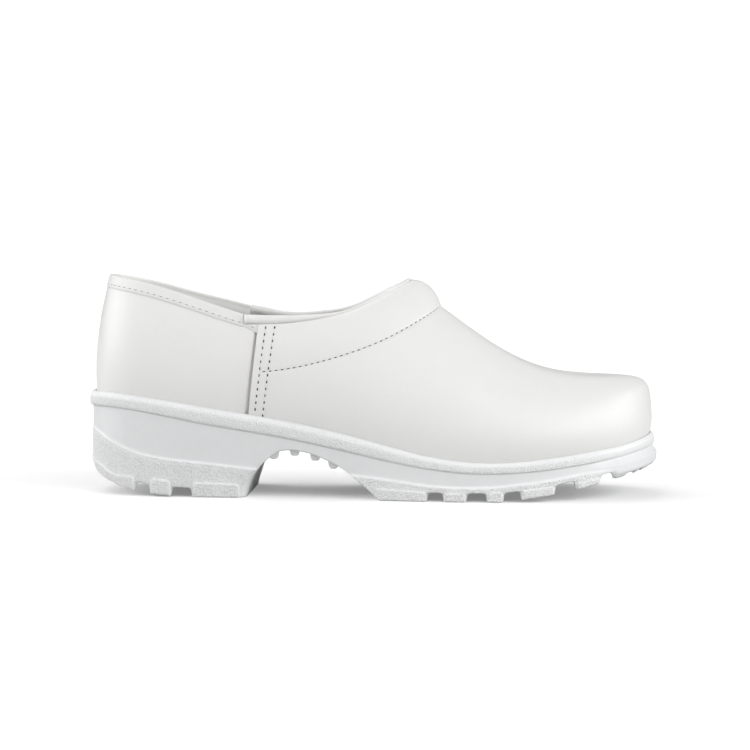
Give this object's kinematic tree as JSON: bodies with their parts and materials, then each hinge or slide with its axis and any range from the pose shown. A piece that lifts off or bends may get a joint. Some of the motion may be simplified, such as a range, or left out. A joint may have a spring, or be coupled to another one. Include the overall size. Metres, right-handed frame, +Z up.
{
  "type": "closed-back slip-on work clog",
  "caption": "White leather slip-on work clog for the right foot, with closed heel, padded collar and chunky moulded sole.",
  "frame": {"origin": "on the floor under the middle of the shoe's bounding box", "axes": "+X to the toe, +Y to the inner side of the right foot, +Z up"},
  "size_m": [0.2918, 0.1089, 0.1111],
  "materials": {
    "sole_foam": "pebbled matte moulding",
    "upper_leather": "smooth coated satin",
    "collar_leather": "soft satin",
    "binding_tape": "soft matte",
    "insole_cloth": "matte"
  },
  "bodies": {
    "root": {"sole": "sole_foam", "upper": "upper_leather", "collar_roll": "collar_leather", "heel_binding": "binding_tape", "insole": "insole_cloth"}
  },
  "joints": []
}
